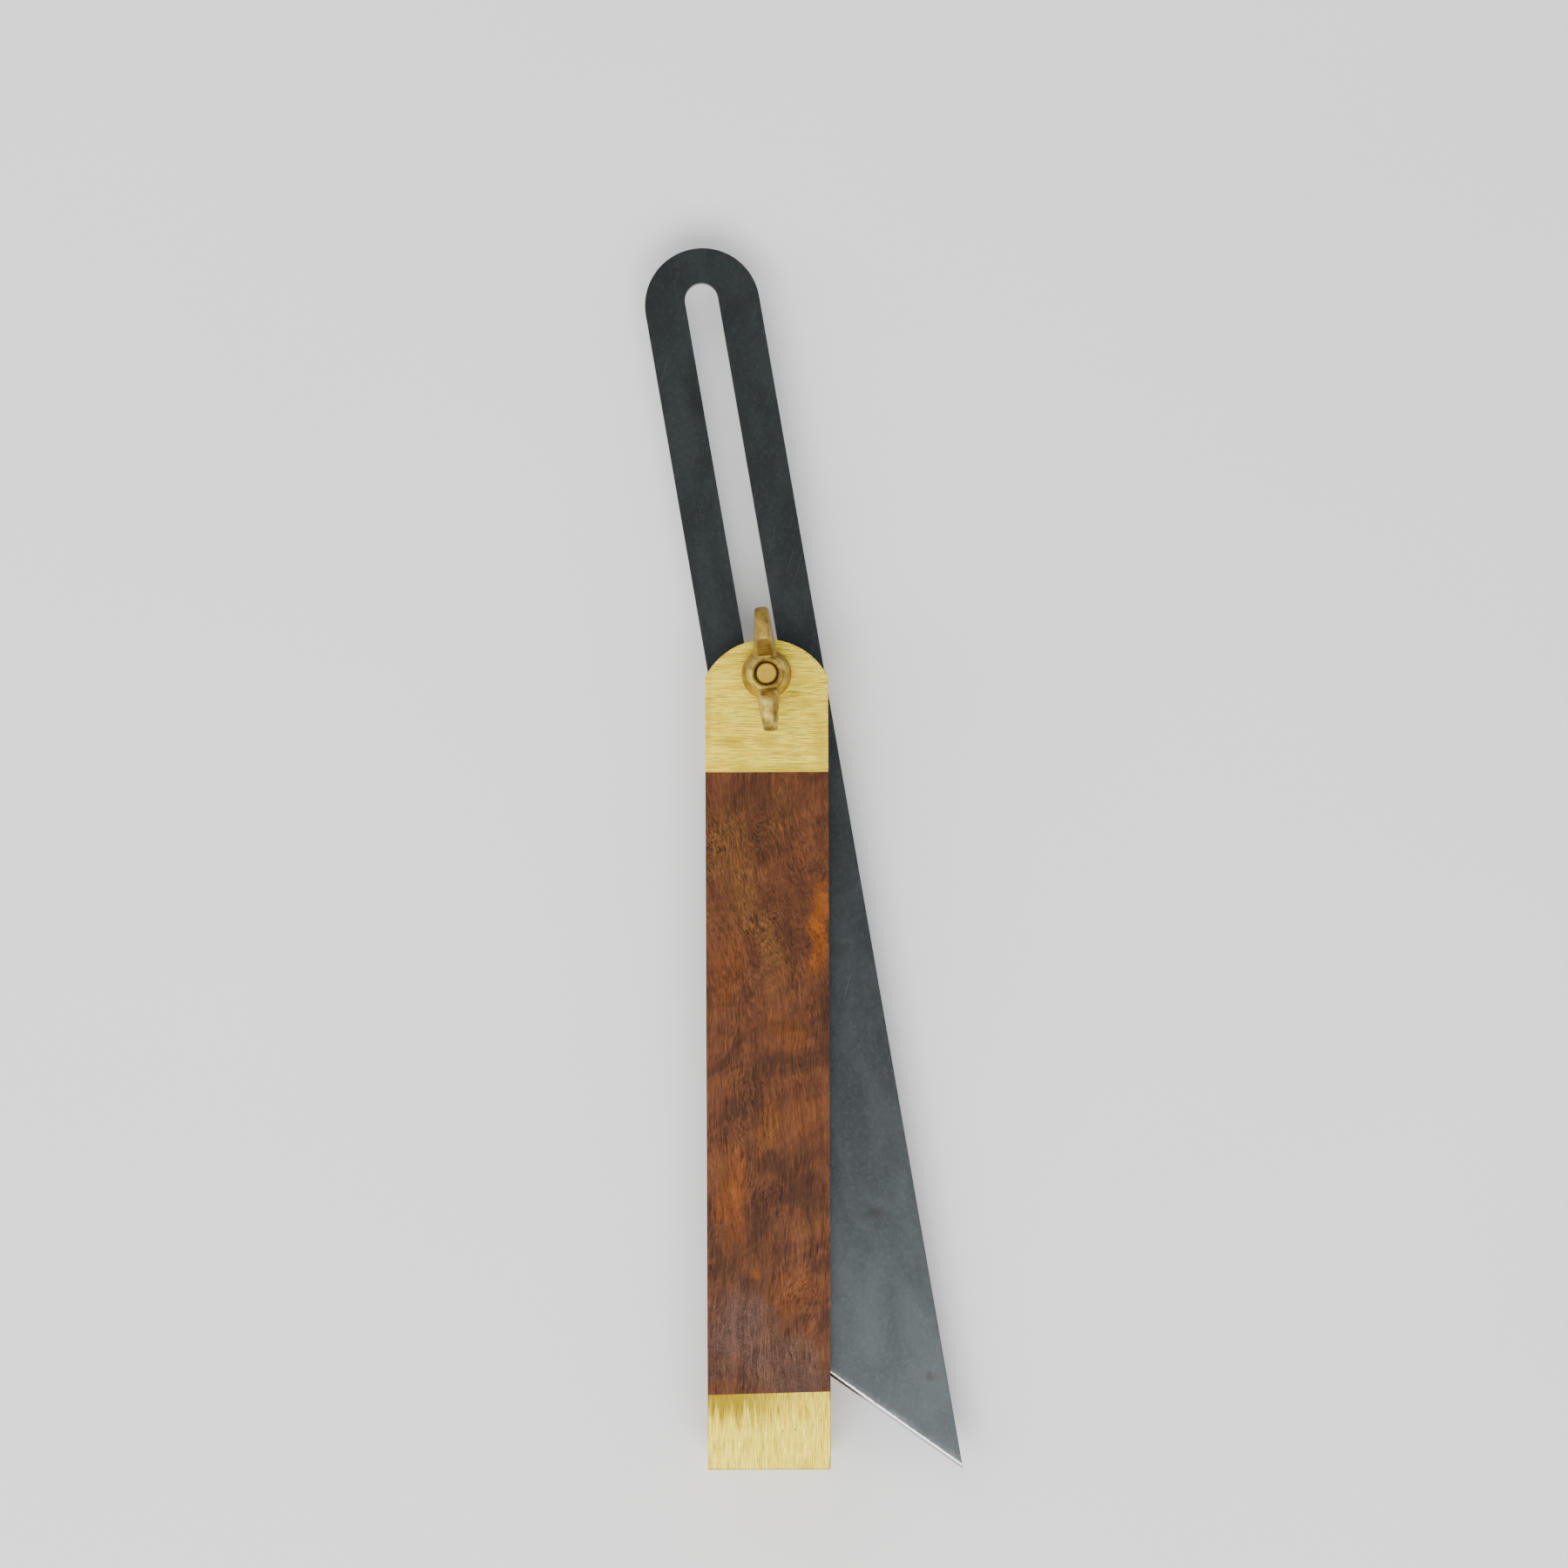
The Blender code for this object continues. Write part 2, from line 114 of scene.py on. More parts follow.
# Wing nut
NUT_FOOT = 1.2 * MM
NUT_BASE_RADIUS = 5.25 * MM
NUT_TOP_RADIUS = 3.7 * MM
NUT_BOSS_HEIGHT = 6.5 * MM
NUT_MOUTH = 0.42 * MM
NUT_EDGE = 0.5 * MM
WING_TOP_Z = NUT_HIGH.z - 0.08 * MM
WING_THICKNESS = 2.9 * MM
WING_REACH = 13.0 * MM
WING_EDGE = 0.75 * MM
WING_ROOTS = [(WING_THICKNESS, 3.5 * MM, 4.7 * MM), (5.0 * MM, 3.2 * MM, 1.5 * MM)]
EAR_RADIUS = 4.2 * MM
CORNER_RADIUS = 0.5 * MM
CORNER_INSET = 2.3 * MM
WING_TURN = math.radians(4.2)
WING_OFFSET = 0.8 * MM
SAND_GRAIN = 0.17 * MM          # finest detail of the casting
SAND_LUMP = 0.025 * MM

# Blade, in its own frame: pivot at the origin, round end up
BLADE_LENGTH = 266.7 * MM
BLADE_WIDTH = 24.6 * MM
BLADE_TOP = 92.5 * MM
BLADE_TIP = BLADE_TOP - BLADE_LENGTH
BLADE_ARRIS = 0.15 * MM
GROUND_EDGE = 0.55 * MM
SLOT_LENGTH = 118.0 * MM
SLOT_WIDTH = 7.1 * MM
SLOT_TOP = BLADE_TOP - 7.5 * MM

# Setting
MIDDLE_OF_TOOL = Vector((0, 0, 0.01))
CAMERA_PLACE = (0.0036, 0.0571, 0.7785)
CAMERA_LEAN = math.radians(-0.21)
VIEW_DISTANCE = 0.769
VIEW_WIDTH = 0.3352


# ---------------------------------------------------------------- bench tools

def deselect():
    """Select nothing."""
    bpy.ops.object.select_all(action="DESELECT")


def take(piece):
    """Select this piece and nothing else."""
    deselect()
    piece.select_set(True)
    bpy.context.view_layer.objects.active = piece


def reopen(piece):
    """Go back to editing a piece."""
    take(piece)
    bpy.ops.object.mode_set(mode="EDIT")


def start(name, add, **sizes):
    """Add a primitive at its size and place, and open it for editing."""
    deselect()
    add(**sizes)
    piece = bpy.context.object
    piece.name = piece.data.name = name
    bpy.ops.object.transform_apply(location=True, rotation=True, scale=True)
    bpy.ops.object.mode_set(mode="EDIT")
    return piece


def start_disc(name, radius, place, vertices):
    """A flat round face, open for editing."""
    return start(name, bpy.ops.mesh.primitive_circle_add, vertices=vertices, radius=radius,
                 fill_type="NGON", location=place)


def start_rod(name, radius, x, y, low, high, vertices=48):
    """An upright rod between two heights, open for editing."""
    return start(name, bpy.ops.mesh.primitive_cylinder_add, vertices=vertices, radius=radius,
                 depth=high - low, location=(x, y, (low + high) / 2))


def start_bar(name, low, high):
    """A square bar between two corners, open for editing."""
    low, high = Vector(low), Vector(high)
    return start(name, bpy.ops.mesh.primitive_cube_add, size=1, location=(low + high) / 2,
                 scale=high - low)


def start_turned(name, y, vertices, steps):
    """A round shape drawn up through its (height, radius) steps, open for editing."""
    (height, radius), *later = steps
    piece = start_disc(name, radius, (0, y, height), vertices)
    pick_all()
    for next_height, next_radius in later:
        draw_out(z=next_height - height)
        ratio = next_radius / radius
        bpy.ops.transform.resize(value=(ratio, ratio, 1))
        height, radius = next_height, next_radius
    return piece


def pick(wanted, kind="FACE"):
    """Select points by their place, or edges or faces by their middle and direction."""
    bpy.ops.mesh.select_mode(type=kind)
    bpy.ops.mesh.select_all(action="DESELECT")
    shape = bmesh.from_edit_mesh(bpy.context.object.data)
    if kind == "VERT":
        for point in shape.verts:
            point.select_set(wanted(point.co))
    if kind == "EDGE":
        for edge in shape.edges:
            first, second = edge.verts[0].co, edge.verts[1].co
            edge.select_set(wanted((first + second) / 2, (second - first).normalized()))
    if kind == "FACE":
        for face in shape.faces:
            face.select_set(wanted(face.calc_center_median(), face.normal))
    shape.select_flush_mode()
    bmesh.update_edit_mesh(bpy.context.object.data)


def pick_all():
    """Select all of the piece that is being edited."""
    bpy.ops.mesh.select_all(action="SELECT")


def draw_out(y=0.0, z=0.0):
    """Extrude what is selected by that much."""
    bpy.ops.mesh.extrude_region_move(TRANSFORM_OT_translate={"value": (0, y, z)})


def trim(place, normal, keep_all=False):
    """Saw through everything at a plane, and drop what its normal points to."""
    pick_all()
    bpy.ops.mesh.bisect(plane_co=place, plane_no=normal, clear_outer=not keep_all)


def ease(wanted, width, segments):
    """Round the edges that the test wants, or chamfer them where there is one segment."""
    pick(wanted, "EDGE")
    bpy.ops.mesh.bevel(offset=width, segments=segments, profile=0.5, affect="EDGES")


def stop_editing(merge=True):
    """Merge doubles, turn the faces outwards and leave edit mode."""
    bpy.ops.mesh.select_mode(type="VERT")
    pick_all()
    if merge:
        bpy.ops.mesh.remove_doubles(threshold=1e-7)
    bpy.ops.mesh.normals_make_consistent(inside=False)
    bpy.ops.object.mode_set(mode="OBJECT")


def apply_modifier(piece, kind, **settings):
    """Put a modifier on a piece and apply it."""
    take(piece)
    added = piece.modifiers.new(kind.lower(), kind)
    for name, value in settings.items():
        setattr(added, name, value)
    bpy.ops.object.modifier_apply(modifier=added.name)


def carve(piece, cutters):
    """Cut the cutters' shapes out of a piece."""
    for cutter in cutters:
        apply_modifier(piece, "BOOLEAN", operation="DIFFERENCE", solver="EXACT", object=cutter)
        bpy.data.objects.remove(cutter, do_unlink=True)


def drill(x, y, radius, low, high, vertices=48):
    """A cutter for a round hole."""
    cutter = start_rod("drill", radius, x, y, low, high, vertices)
    stop_editing()
    return cutter


def drills(places, radius, low, high):
    """Cutters for a row of equal holes."""
    return [drill(x, y, radius, low, high) for x, y in places]


def countersunk_drill(low, high):
    """A cutter for the screw's hole and the seat of its head."""
    rim = SCREW_HEAD_RADIUS + CONTACT
    steps = [(low, rim), (SCREW_LOW.z, rim), (SCREW_LOW.z + rim - HOLE_RADIUS, HOLE_RADIUS),
             (high, HOLE_RADIUS)]
    cutter = start_turned("drill", PIVOT.y, 64, steps)
    stop_editing()
    return cutter


def copied_to_back(piece, name):
    """A copy with its own mesh, mirrored from the stock's front to its back."""
    take(piece)
    bpy.ops.object.duplicate(linked=False)
    copy = bpy.context.object
    copy.name = copy.data.name = name
    copy.data.transform(Matrix.Translation((0, 0, FRONT_Z)) @ Matrix.Scale(-1, 4, (0, 0, 1)))
    bpy.ops.object.mode_set(mode="EDIT")
    stop_editing(merge=False)
    return copy


def set_on_pivot(piece, turn):
    """Turn a piece that was made round the origin, and carry it to the pivot."""
    place = Matrix.Translation((PIVOT.x, PIVOT.y, 0))
    piece.data.transform(place @ Matrix.Rotation(turn, 4, "Z"))


def fit(piece, finish, body, slot, *nodes, angle=30):
    """Give a finished piece its material, and put it on its body in place of the CAD nodes."""
    take(piece)
    bpy.ops.object.shade_smooth_by_angle(angle=math.radians(angle))
    apply_modifier(piece, "WEIGHTED_NORMAL", keep_sharp=True)
    piece.data.materials.clear()
    piece.data.materials.append(finish)
    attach(piece, body)
    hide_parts(*nodes)


# ---------------------------------------------------------------- shader sums

class Wire:
    """One output of a shader node.  Sums written with it become Math nodes."""

    def __init__(self, tree, socket=None):
        self.tree = tree
        self.socket = socket

    def node(self, kind, settings=(), inputs=(), output=0):
        """Add a node: its settings first, then the values or links of its sockets."""
        added = self.tree.nodes.new("ShaderNode" + kind)
        for name, value in dict(settings).items():
            setattr(added, name, value)
        for name, value in dict(inputs).items():
            if isinstance(value, Wire):
                self.tree.links.new(value.socket, added.inputs[name])
            else:
                added.inputs[name].default_value = value
        return Wire(self.tree, added.outputs[output])

    def maths(self, operation, *values):
        """Add a Math node on these values alone."""
        return self.node("Math", {"operation": operation}, enumerate(values))

    def __add__(self, other):
        return self.maths("ADD", self, other)

    def __radd__(self, other):
        return self.maths("ADD", other, self)

    def __sub__(self, other):
        return self.maths("SUBTRACT", self, other)

    def __rsub__(self, other):
        return self.maths("SUBTRACT", other, self)

    def __mul__(self, other):
        return self.maths("MULTIPLY", self, other)

    def __rmul__(self, other):
        return self.maths("MULTIPLY", other, self)

    def size(self):
        """This without its sign."""
        return self.maths("ABSOLUTE", self)

    def capped(self):
        """This, but never above 1."""
        return self.maths("MINIMUM", self, 1.0)

    def scaled(self, amount):
        """A colour made lighter or darker."""
        return self.node("VectorMath", {"operation": "SCALE"}, {0: self, 3: amount})

    def within(self, low, high):
        """0 below low, 1 above high, and smooth between them."""
        settings = {"interpolation_type": "SMOOTHSTEP"}
        return self.node("MapRange", settings, {"Value": self, "From Min": low, "From Max": high})

    def tint(self, first, second):
        """First colour where this is 0, second where it is 1."""
        return self.node("Mix", {"data_type": "RGBA"}, {0: self, 6: first, 7: second}, output=2)

    def mapped(self, scale=(1, 1, 1), turn=(0, 0, 0), move=(0, 0, 0)):
        """These coordinates moved, turned and stretched."""
        inputs = {"Vector": self, "Scale": scale, "Rotation": turn, "Location": move}
        return self.node("Mapping", {"vector_type": "POINT"}, inputs)

    def noise(self, scale, detail=2.0, rough=0.5, swirl=0.0):
        """Noise on these coordinates, stretched by three scales in one over millimetres."""
        inputs = {"Vector": self.mapped(scale), "Scale": 1.0, "Detail": detail,
                  "Roughness": rough, "Distortion": swirl}
        return self.node("TexNoise", {"noise_dimensions": "3D"}, inputs)

    def length(self):
        """How far these coordinates are from their origin."""
        return self.node("VectorMath", {"operation": "LENGTH"}, {0: self}, output=1)

    def part(self, axis):
        """One of the three coordinates, by its letter."""
        return self.node("SeparateXYZ", (), {"Vector": self}, output="XYZ".index(axis))

    def shifted(self, x=0.0, y=0.0, z=0.0):
        """These coordinates with a varying amount added."""
        amount = self.node("CombineXYZ", (), {"X": x, "Y": y, "Z": z})
        return self.node("VectorMath", {"operation": "ADD"}, {0: self, 1: amount})


def shade(red, green, blue):
    """A colour from its display values, 0 to 255."""
    return (*(((part / 255 + 0.055) / 1.055) ** 2.4 for part in (red, green, blue)), 1.0)


def finish_named(name, **constants):
    """A new material with constant values on its shader, and its coordinates in millimetres."""
    made = bpy.data.materials.new(name)
    made.use_nodes = True
    shader = made.node_tree.nodes["Principled BSDF"]
    for socket, value in constants.items():
        shader.inputs[socket.replace("_", " ")].default_value = value
    place = Wire(made.node_tree).node("TexCoord", output=3)
    return made, shader, place.mapped(scale=(1000, 1000, 1000))


def connect(shader, **wires):
    """Link wires to the shader's sockets of the same names."""
    for socket, wire in wires.items():
        wire.tree.links.new(wire.socket, shader.inputs[socket.replace("_", " ")])


def bumped(height, depth):
    """A normal from a height between 0 and 1 and the depth, in metres, that it stands for."""
    return height.node("Bump", (), {"Height": height, "Distance": depth, "Strength": 1.0})


# ---------------------------------------------------------------- finishes

def blot(place, x, y, width, height, lean=0.0):
    """Soft oval patch: 1 in its middle, 0 at its rim, its width leaning so many degrees."""
    centred = place.mapped(move=(-x, -y, 0)).mapped(turn=(0, 0, -math.radians(lean)))
    reach = centred.mapped(scale=(1 / width, 1 / height, 0)).length()
    return 1 - reach.within(0.25, 1.0)


def blots(place, patches):
    """Several patches together, each with its strength before its place, sizes and lean."""
    return sum(blot(place, *patch) * strength for strength, *patch in patches).capped()


ORANGE_PATCHES = [(0.95, 11, 27, 3.0, 13), (0.48, -7.5, -31, 4, 16), (0.3, 0.5, -14, 3.5, 9),
                  (0.3, 6, -50, 8, 6), (0.5, -2, -45, 2, 2.5), (0.3, 4, 4, 7, 5, -30),
                  (0.25, -8, 18, 5, 9), (0.2, 8, -12, 5, 10)]
TAN_PATCHES = [(0.9, -3, 30, 24, 6, -68), (0.8, -7, 46, 7, 10), (0.6, 1, -14, 3, 9),
               (0.5, 3, 52, 5, 8), (0.5, 8, -37, 5, 4)]
DARK_PATCHES = [(0.9, 4, -26, 13, 4.5, -36), (1.0, 12.6, 6, 3.4, 16), (0.7, -5.5, 7, 5, 3.5),
                (0.5, 7, 15, 4, 3.5), (0.8, -3.8, -48, 3.2, 4.5), (0.65, -3, -38, 2, 8),
                (0.6, 8.2, -41, 3, 3), (0.5, 3, 40, 4, 8), (0.45, -8, -14, 5, 5)]
# Greyer patches near the butt: their grey colour is painted sheen, while the rougher finish without
# coat that goes with them is the wood's own.
DULL_SHEEN_PATCHES = [(0.9, -6, -59, 10, 13), (0.7, 5, -67, 13, 9)]


def oiled_hardwood():
    """Reddish brown wood with interlocked grain, dark open pores and a matt oil finish, greyed near
    the butt by painted sheen.
    """
    made, shader, place = finish_named("oiled_hardwood", Specular_IOR_Level=0.11,
                                       Coat_Roughness=0.32)
    sway = place.noise((0.05, 0.020, 0.05), 2.0)
    sway_small = place.noise((0.15, 0.06, 0.15), 2.0)
    bend = (sway - 0.5) * 12.0 + (sway_small - 0.5) * 3.6 + place.part("Y").within(6, 54) * 12.0
    grain = place.shifted(x=bend, z=bend * 0.6)
    rough_edge = (place.noise((0.22, 0.14, 0.22), 4.0, 0.6) - 0.5) * 8.0
    torn = place.shifted(x=rough_edge, y=rough_edge * 1.8)
    leaning = place.mapped(turn=(0, 0, math.radians(-32)))
    figure = leaning.noise((0.06, 0.12, 0.07), 4.0, 0.6, 0.8)
    stripes = grain.noise((0.55, 0.020, 0.55), 4.0, 0.6)
    fibres = grain.noise((4.4, 0.20, 4.4), 3.0, 0.65)
    hairs = grain.noise((8.0, 1.0, 8.0), 2.0, 0.6)
    wide_pores = 1 - grain.noise((3.4, 0.26, 3.4), 2.0, 0.6, 0.2).within(0.34, 0.43)
    fine_pores = 1 - grain.noise((7.5, 1.0, 7.5), 2.0, 0.6).within(0.34, 0.42)
    pore_zone = place.noise((0.10, 0.05, 0.10), 2.0).within(0.42, 0.60)
    orange, tan = blots(torn, ORANGE_PATCHES), blots(torn, TAN_PATCHES)
    pores = wide_pores * (0.30 + 0.50 * pore_zone + 0.30 * tan) + fine_pores * 0.30
    dark, dull_and_sheen = blots(torn, DARK_PATCHES), blots(torn, DULL_SHEEN_PATCHES)
    base = figure.within(0.36, 0.64).tint(shade(70, 39, 22), shade(94, 54, 30))
    base = (tan * 0.40).tint(base, shade(106, 72, 30))
    base = (orange * 0.68).tint(base, shade(134, 70, 4))
    base = (dark * 0.55).tint(base, shade(46, 24, 13))
    # Painted sheen: the grey colour over these patches stands for light reflected off the oiled
    # wood.
    base = (dull_and_sheen * 0.70).tint(base, shade(84, 64, 57))
    streaky = 0.60 + pore_zone * 0.40 + tan * 0.6
    fine = ((fibres - 0.5) * 2.8 + (hairs - 0.5) * 1.2) * streaky
    base = base.scaled(1 + fine + (stripes - 0.5) * 1.5)
    base = (fibres.within(0.54, 0.70) * (0.14 + tan * 0.40)).tint(base, shade(134, 92, 36))
    base = (pores * 0.75).capped().tint(base, shade(30, 16, 10))
    specks = place.noise((4.6, 3.4, 4.6), 2.0, 0.6).within(0.54, 0.70) * (0.04 + dull_and_sheen * 0.96)
    base = (specks * 0.40).tint(base, shade(150, 122, 102))
    height = fibres * 0.35 + hairs * 0.25 - pores * 0.8
    connect(shader, Base_Color=base, Roughness=0.42 + pores * 0.2 + fibres * 0.12 + dull_and_sheen * 0.1,
            Coat_Weight=0.03 - dull_and_sheen * 0.03, Normal=bumped(height, 0.00005))
    return made


# Of these patches on the head plate, the two blots in the middle are tarnish and the three long
# bands along its lower, right and left edges are painted shade.
HEAD_SMUDGES_AND_SHADE = [(0.9, -7.4, 66.1, 3.6, 1.6), (0.7, -0.4, 66.0, 3.6, 1.7), (0.8, 3, 60.2, 15, 1.8),
                (0.6, 11.5, 66, 2.5, 8), (0.5, -12.4, 72, 1.2, 12)]


def brushed_brass(name, across):
    """Brass rubbed on an abrasive belt, across the stock or along it, with light tarnish, and
    painted shade along the edges of the head plate.
    """
    made, shader, place = finish_named(name, Metallic=1.0)
    long, short = (0.10, 2.3), (0.26, 6.5)
    if across:
        scales = [(first, second, first * 3) for first, second in (long, short)]
    else:
        scales = [(second, first, first) for first, second in (long, short)]
    streaks = place.noise(scales[0], 3.0, 0.65)
    lines = place.noise(scales[1], 2.0, 0.6)
    blotches = place.noise((0.16, 0.16, 0.16), 4.0, 0.6, 0.5)
    grit = place.noise((3.0, 3.0, 3.0), 3.0, 0.7)
    base = streaks.within(0.34, 0.64).tint(shade(236, 197, 44), shade(255, 238, 88))
    base = (lines.within(0.57, 0.34) * 0.85).tint(base, shade(152, 136, 38))
    base = (grit.within(0.52, 0.34) * 0.4).tint(base, shade(160, 142, 40))
    base = (blotches.within(0.54, 0.72) * 0.45).tint(base, shade(200, 164, 40))
    rough = 0.44 + blotches * 0.10 + lines * 0.14
    if across:
        # Tarnish blots, and painted shade along the head plate's edges.
        smudges_and_shade = blots(place.shifted(x=blotches * 3 - 1.5, y=grit * 2 - 1), HEAD_SMUDGES_AND_SHADE)
        base = (smudges_and_shade * 0.6).tint(base, shade(172, 146, 30))
    else:
        depth = BUTT_SEAM_Y / MM - place.part("Y")
        run = place.noise((1.5, 0.03, 1.5), 3.0, 0.6) * 16 - 3.5
        leftward = 1 - place.part("X").within(-9.0, 9.0) * 0.75
        tarnish = (1 - (depth - run).within(-2.5, 3.0)) * leftward
        base = (tarnish * 0.85).tint(base, shade(156, 130, 22))
        base = (tarnish * lines.within(0.52, 0.36) * 0.6).tint(base, shade(98, 82, 22))
        pits = place.noise((1.2, 0.9, 1.2), 2.0, 0.5).within(0.69, 0.74)
        pits = pits * (1 - (depth - 6).size().within(3.0, 6.0))
        base = (pits * 0.8).tint(base, shade(84, 74, 34))
        rough = rough + tarnish * 0.10
    height = lines * 0.6 + streaks * 0.4
    connect(shader, Base_Color=base, Roughness=rough, Normal=bumped(height, 0.00004))
    return made


def cast_brass():
    """Brass as it came from the sand: grainy, and darkened by painted shade low down and on the
    upper wing.
    """
    made, shader, place = finish_named("cast_brass_skin", Metallic=1.0)
    blotches = place.noise((0.35, 0.35, 0.35), 5.0, 0.55)
    grains = place.noise((4.5, 4.5, 4.5), 3.0, 0.65)
    base = blotches.within(0.34, 0.66).tint(shade(132, 106, 46), shade(210, 186, 98))
    base = (grains.within(0.46, 0.34) * 0.7).tint(base, shade(92, 72, 36))
    # Painted shade: darker towards the base of the nut, where its lower cone lies in shade.
    low = 1 - place.part("Z").within(22.0, 26.8)
    base = (low * 0.5).tint(base, shade(112, 86, 38))
    # Painted shade: the upper wing made browner than the lower, for light that falls unevenly on
    # the two wings.
    upper_wing_shade = (place.part("Y") - PIVOT.y / MM).within(1.5, 4.5)
    base = (upper_wing_shade * 0.50).tint(base, shade(106, 78, 34))
    rust = place.noise((0.8, 0.8, 0.8), 3.0, 0.6).within(0.54, 0.68)
    base = (rust * 0.45).tint(base, shade(144, 96, 34))
    connect(shader, Base_Color=base, Roughness=0.40 + grains * 0.25,
            Normal=bumped(grains * 0.7 + blotches * 0.3, 0.00010))
    return made


def turned_brass():
    """Brass from the lathe, for the screw and the washer, with painted shade on the thread where it
    stands inside the nut's bore.
    """
    made, shader, place = finish_named("turned_brass", Metallic=1.0)
    radius = place.mapped(move=(0, -PIVOT.y / MM, 0)).mapped(scale=(1, 1, 0)).length()
    rings = radius.node("TexNoise", {"noise_dimensions": "1D"},
                        {"W": radius, "Scale": 7.0, "Detail": 2.0})
    blotches = place.noise((0.7, 0.7, 0.7), 3.0, 0.6)
    base = rings.within(0.30, 0.70).tint(shade(186, 154, 54), shade(196, 166, 64))
    base = (blotches.within(0.46, 0.66) * 0.5).tint(base, shade(160, 122, 50))
    # Painted shade: the outer thread and end chamfer of the screw darkened, with flecks, where they
    # stand up inside the nut's bore.
    bore_shade = radius.within(2.10, 2.30) * place.part("Z").within(20.5, 21.0)
    flecks = place.noise((2.6, 2.6, 2.6), 2.0, 0.6).within(0.60, 0.50)
    base = (bore_shade * (0.45 + flecks * 0.45)).tint(base, shade(52, 36, 18))
    connect(shader, Base_Color=base, Roughness=0.36 + blotches * 0.2 + bore_shade * 0.2,
            Normal=bumped(rings, 0.000005))
    return made


BLADE_STAINS = [(1.0, 2.9, -117, 3.0, 1.8), (1.0, 8.8, -153, 1.3, 1.6), (0.6, -6, -88, 2.5, 4),
                (0.5, 5, -60, 4, 2), (0.5, -4, 60, 3, 5), (0.4, 7, 20, 2, 4)]


def blued_steel():
    """Satin blue-black steel, mottled and faintly scratched, with a bright ground end whose colour
    runs on past the chamfer as a painted highlight.
    """
    made, shader, place = finish_named("blued_steel", Specular_IOR_Level=0.5)
    own = place.mapped(move=(-PIVOT / MM).to_tuple()).mapped(turn=(0, 0, -BLADE_TURN))
    cloud = own.noise((0.09, 0.05, 0.3), 4.0, 0.6, 0.6)
    mottle = own.noise((1.6, 1.1, 1.6), 4.0, 0.65)
    drawn = own.noise((3.2, 0.05, 3.2), 3.0, 0.6)
    leaning = own.mapped(turn=(0, 0, math.radians(24)))
    scratch = leaning.noise((4.0, 0.06, 4.0), 1.0, 0.4, 0.15).within(0.73, 0.78)
    base = cloud.within(0.35, 0.65).tint(shade(49, 54, 56), shade(58, 63, 65))
    base = (mottle.within(0.50, 0.68) * 0.26).tint(base, shade(76, 81, 83))
    base = (mottle.within(0.44, 0.30) * 0.14).tint(base, shade(40, 42, 44))
    base = (scratch * 0.22).tint(base, shade(120, 124, 126))
    stains = blots(own.shifted(x=mottle * 3 - 1.5, y=cloud * 3 - 1.5), BLADE_STAINS)
    base = (stains * 0.5).tint(base, shade(42, 36, 32))
    cut = (own.part("X") + own.part("Y")) * -math.sqrt(0.5)
    tip = -(BLADE_WIDTH / 2 + BLADE_TIP) / MM * math.sqrt(0.5)
    ragged = (own.noise((1.2, 1.2, 1.2), 3.0, 0.6) - 0.5) * 0.5
    # The bright band covers the ground chamfer and reaches a little way onto the flat face; that
    # reach is a painted highlight, the chamfer itself bare ground steel.
    ground_and_glint = (cut + ragged).within(tip - 1.05, tip - 0.70)
    rubbed = (cut + ragged * 3).within(tip - 2.4, tip - 0.5)
    rubbed = rubbed * (0.12 + 0.4 * cloud.within(0.46, 0.62))
    base = rubbed.tint(base, shade(140, 142, 142))
    base = ground_and_glint.tint(base, shade(206, 208, 208))
    connect(shader, Base_Color=base, Metallic=0.8 + ground_and_glint * 0.2,
            Roughness=0.21 + mottle * 0.10 + cloud * 0.06,
            Normal=bumped(drawn * 0.5 + mottle * 0.5 - scratch * 0.6, 0.000015))
    return made


# ---------------------------------------------------------------- stock

def round_headed_board(name, y_low, low, high):
    """Board as wide as the stock, square at its lower end and rounded at the head."""
    shoulder = HEAD_Y - HEAD_RISE
    board = start_disc(name, HEAD_ARC_RADIUS, (0, HEAD_Y - HEAD_ARC_RADIUS, low), 180)
    trim((HALF_WIDTH, 0, low), (1, 0, 0))
    trim((-HALF_WIDTH, 0, low), (-1, 0, 0))
    trim((0, shoulder, low), (0, -1, 0))
    pick(lambda middle, along: abs(middle.y - shoulder) < 1e-6 and abs(along.x) > 0.9, "EDGE")
    draw_out(y=y_low - shoulder)
    bpy.ops.mesh.select_mode(type="FACE")
    pick_all()
    bpy.ops.mesh.dissolve_limited(angle_limit=math.radians(1))
    pick_all()
    draw_out(z=high - low)
    return board


def slant_butt_seam(above):
    """Lean the strap's front edge, or the wood that meets it, as the maker sawed it."""
    for side, lean in ((-1, BUTT_SEAM_LEFT), (1, BUTT_SEAM_RIGHT)):
        pick(lambda place: place.z > above and place.x * side > 0
             and abs(place.y - BUTT_SEAM_Y) < 0.1 * MM, "VERT")
        bpy.ops.transform.translate(value=(0, lean, 0))


